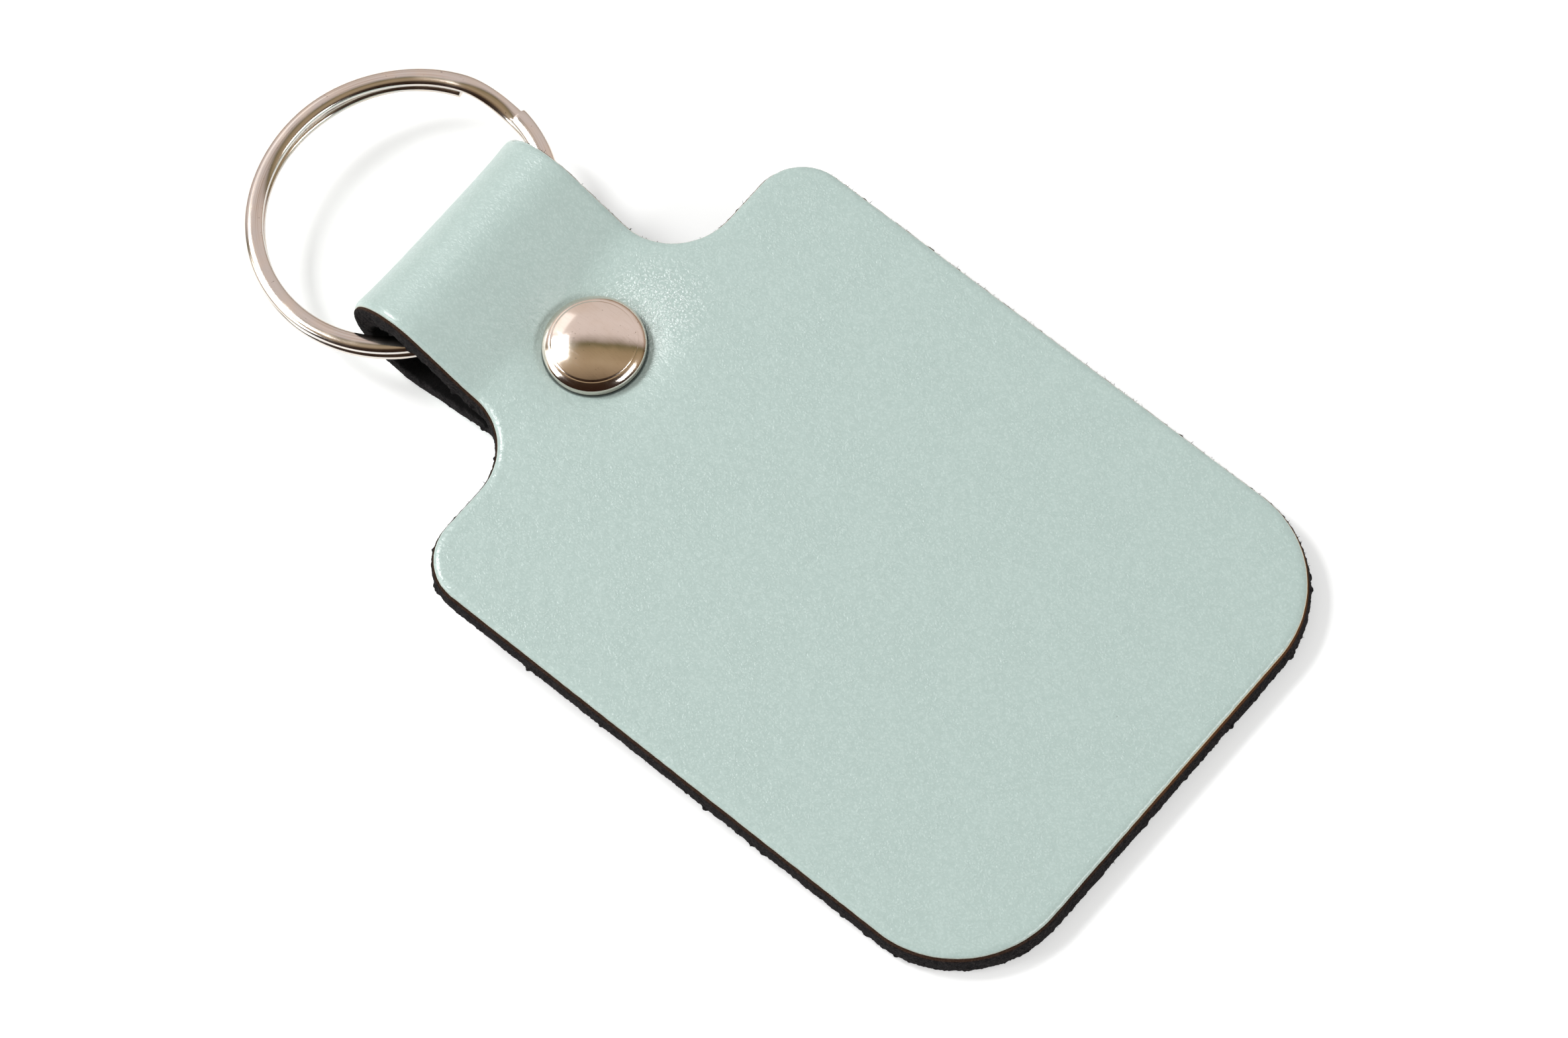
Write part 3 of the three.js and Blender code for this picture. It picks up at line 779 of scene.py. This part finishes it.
def set_cap(name, node, bm, flip):
    place = bm.verts.layers.float_vector.new("place")
    for vert in bm.verts:
        vert[place] = vert.co
    if flip:
        bmesh.ops.scale(bm, verts=bm.verts[:], vec=(1, 1, -1))
        bmesh.ops.translate(bm, verts=bm.verts[:], vec=(0, 0, -LEG_GAP))
    bmesh.ops.translate(bm, verts=bm.verts[:], vec=(0, RIVET_Y, 0))
    bmesh.ops.transform(bm, matrix=bench, verts=bm.verts[:])
    cap = finished_piece(name, bm, pressed_nickel, sharp_angle=50)
    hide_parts(node)
    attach(cap, "loop")


set_cap("rivet_cap_front", "rivet_front_cap", cap_shell(FRONT_TOP, FRONT_DOME_RADIUS), flip=False)
set_cap("rivet_cap_back", "rivet_back_cap", cap_shell(BACK_TOP, BACK_DOME_RADIUS), flip=True)

# %% [markdown]
# The split ring is one flattened wire wound nearly twice round. A section of the wire is spun step by step,
# and each step climbs by its own small amount: the turns lie together, open a little beside the fold, and
# cross over in the short stretch between the two cut ends. A screw modifier climbs evenly, so it can't make
# that crossover.

# %% Make the split ring
RING_RADIUS = 12.5
WIRE_WIDTH = 1.5
WIRE_HEIGHT = 0.79
WIRE_BEVEL = 0.07
END_ANGLE = 19
CROSSOVER = 28
STEP_ANGLE = 2.0
TOUCH_GAP = 0.05
SPREAD_GAP = 0.34
SPREAD_ANGLE = 78
SPREAD_HALF = 34
ENDS_HALF = 40
SECTION_POINTS = 28
WIDTH_POWER = 0.92
HEIGHT_POWER = 0.88


def wire_level(travel):
    angle = (END_ANGLE + travel) % 360
    parted = smooth_step(1 - abs(angle - SPREAD_ANGLE) / SPREAD_HALF)
    from_ends = abs((angle - END_ANGLE + CROSSOVER / 2 + 180) % 360 - 180)
    ends = smooth_step(1 - from_ends / ENDS_HALF)
    pitch = WIRE_HEIGHT + TOUCH_GAP + SPREAD_GAP * max(parted, ends)
    climbed = smooth_step((travel - (360 - CROSSOVER)) / CROSSOVER)
    return pitch * (climbed - 0.5)


def squared(value, power):
    return math.copysign(abs(value) ** power, value)


wire = bmesh.new()
lay = wire.verts.layers.float_vector.new("wire")
section = bmesh.ops.create_circle(wire, segments=SECTION_POINTS, radius=1)["verts"]
middle_radius = RING_RADIUS - WIRE_WIDTH / 2
for vert in section:
    across = squared(vert.co.x, WIDTH_POWER) * WIRE_WIDTH / 2
    height = squared(vert.co.y, HEIGHT_POWER) * WIRE_HEIGHT / 2
    vert[lay] = (0, across, height)
    vert.co = (middle_radius + across, 0, height + wire_level(0))
start_edges = wire.edges[:]
run_geom = wire.verts[:] + wire.edges[:]
wire_travel = 720 - CROSSOVER
steps = round(wire_travel / STEP_ANGLE)
for step in range(steps):
    travel, further = wire_travel * step / steps, wire_travel * (step + 1) / steps
    made = bmesh.ops.spin(
        wire, geom=run_geom, cent=(0, 0, 0), axis=(0, 0, 1), angle=math.radians(further - travel), steps=1,
        dvec=(0, 0, wire_level(further) - wire_level(travel)), use_merge=False,
    )
    run_geom = made["geom_last"]
    for vert in run_geom:
        if isinstance(vert, bmesh.types.BMVert):
            vert[lay].x = math.radians(further) * middle_radius
end_edges = [g for g in run_geom if isinstance(g, bmesh.types.BMEdge)]
for edges in (start_edges, end_edges):
    bmesh.ops.edgeloop_fill(wire, edges=edges)
bmesh.ops.bevel(
    wire, geom=start_edges + end_edges, offset=WIRE_BEVEL, offset_type="OFFSET", affect="EDGES",
    segments=2, profile=0.5, material=-1,
)
spin_axis = Vector(joints["ring_spin"]["axis"])
ring_seat = (
    Matrix.Translation(joints["ring_spin"]["pos_m"])
    @ Vector((0, 0, 1)).rotation_difference(spin_axis).to_matrix().to_4x4()
    @ Matrix.Scale(MM, 4)
    @ Matrix.Rotation(math.radians(END_ANGLE), 4, "Z")
)
bmesh.ops.transform(wire, matrix=ring_seat, verts=wire.verts[:])
ring = finished_piece("split_ring_wire", wire, wound_nickel, sharp_angle=35)
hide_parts("split_ring")
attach(ring, "ring")

# %% [markdown]
# The fob lies on a plain white light table, whose faint glow keeps the shadows pale. The floor is a stage
# piece, not part of the object. It lies a hair below the fob, so that the two never share a plane.

# %% Lay the floor
FLOOR_HALF = 1.5
FLOOR_DROP = 0.00005
TABLE_WHITE = (0.90, 0.90, 0.89, 1)
TABLE_GLOW = 0.28

floor_bm = bmesh.new()
bmesh.ops.create_grid(floor_bm, x_segments=4, y_segments=4, size=FLOOR_HALF)
bmesh.ops.translate(floor_bm, verts=floor_bm.verts[:], vec=(0, 0, -FLOOR_DROP))
floor_paint, _, floor_shader = new_finish("white_table")
floor_shader.inputs["Base Color"].default_value = TABLE_WHITE
floor_shader.inputs["Roughness"].default_value = 0.85
floor_shader.inputs["Specular IOR Level"].default_value = 0.1
floor_shader.inputs["Emission Color"].default_value = (1, 1, 1, 1)
floor_shader.inputs["Emission Strength"].default_value = TABLE_GLOW
floor = finished_piece("floor", floor_bm, floor_paint)

# %% [markdown]
# The light is a studio's: a wide window to the back left with bright sky beside it, a faint one at the back,
# a narrow one at the left and one in front. Each is an area light, aimed at the fob, and some are rolled so
# that their mirrored edges lie on the cap as in the photo.

# %% Light the studio
def window_light(name, direction, distance, size, power, roll=0):
    data = bpy.data.lights.new(name, "AREA")
    data.shape = "RECTANGLE"
    data.size, data.size_y = size
    data.energy = power
    light = bpy.data.objects.new(name, data)
    light.location = Vector(direction).normalized() * distance
    light.rotation_mode = "QUATERNION"
    upright = Vector(direction).to_track_quat("Z", "Y")
    light.rotation_quaternion = upright @ Quaternion((0, 0, 1), math.radians(roll))
    bpy.context.scene.collection.objects.link(light)


window_light("back_left_window", (-0.55, 0.66, 0.50), 0.8, (0.40, 0.36), 1.2)
window_light("bright_sky", (-0.18, 0.59, 0.79), 0.78, (0.27, 0.22), 3.8, 23)
window_light("soft_window", (0.17, 0.77, 0.62), 0.8, (0.28, 0.20), 0.10, 23)
window_light("side_window", (-0.72, 0.47, 0.51), 0.8, (0.18, 0.34), 1.0)
window_light("front_window", (0.14, -0.82, 0.55), 0.8, (0.44, 0.22), 2.7)

# %% [markdown]
# The room round the table is pale beyond the fob, brown behind the camera and dark near the floor. Metal has
# little colour of its own, so this room is what shapes the cap and the ring; a trace of noise keeps its
# horizon from being ruler-straight. Only mirrored rays meet the room. Matt surfaces get even white light
# instead, so the leather keeps its hue, and the camera sees plain white.

# %% Paint the room
ROOM = [
    (0.02, (0.030, 0.012, 0.006)), (0.29, (0.045, 0.025, 0.014)), (0.37, (0.30, 0.215, 0.135)),
    (0.47, (0.48, 0.365, 0.235)), (0.58, (0.38, 0.285, 0.165)), (0.632, (0.16, 0.135, 0.060)),
    (0.66, (0.45, 0.375, 0.330)), (0.71, (0.80, 0.690, 0.650)), (0.80, (0.84, 0.730, 0.690)),
    (1.0, (0.74, 0.640, 0.590)),
]
SKIRTING_SHADE = (0.42, 0.31, 0.20, 1)
SKIRTING_HEIGHT = 0.38
PALE_SIDE = (0.795, 0.607, 0.0)
AMBIENT = 0.38
WHITE = (1, 1, 1, 1)


def plain_light(tree, colour, strength):
    return add_node(tree, "Background", {"Color": colour, "Strength": strength}).outputs[0]


room = bpy.data.worlds.new("studio")
bpy.context.scene.world = room
room.use_nodes = True
tree = room.node_tree
tree.nodes.clear()
towards = add_node(tree, "TexCoord").outputs["Generated"]
pale = vector_math(tree, "DOT_PRODUCT", towards, PALE_SIDE).outputs["Value"]
clutter = spread(tree, noise_at(tree, towards, 9.0, 4.0), 0.2, 0.8, 0.491, 0.509)
ramp = add_node(tree, "ValToRGB", {"Fac": total(tree, product(tree, pale, 0.5), clutter)})
stops = ramp.color_ramp.elements
for place, colour in ROOM[1:-1]:
    stops.new(place).color = (*colour, 1)
for stop, (place, colour) in ((stops[0], ROOM[0]), (stops[-1], ROOM[-1])):
    stop.position, stop.color = place, (*colour, 1)
path = add_node(tree, "LightPath").outputs
height = add_node(tree, "SeparateXYZ", {0: towards}).outputs["Z"]
shade = mix_colour(tree, spread(tree, height, 0.0, SKIRTING_HEIGHT), SKIRTING_SHADE, WHITE)
wall_paint = vector_math(tree, "MULTIPLY", ramp.outputs["Color"], shade).outputs[0]
walls = plain_light(tree, wall_paint, 1.0)
air = plain_light(tree, WHITE, AMBIENT)
backdrop = plain_light(tree, WHITE, 1.0)
around = add_node(tree, "MixShader", {0: path["Is Glossy Ray"], 1: air, 2: walls}).outputs[0]
both = add_node(tree, "MixShader", {0: path["Is Camera Ray"], 1: around, 2: backdrop}).outputs[0]
add_node(tree, "OutputWorld", {"Surface": both})
bpy.context.scene.view_settings.view_transform = "Standard"
print("room:", len(ROOM), "stops from dark to pale,", len(tree.nodes), "nodes")
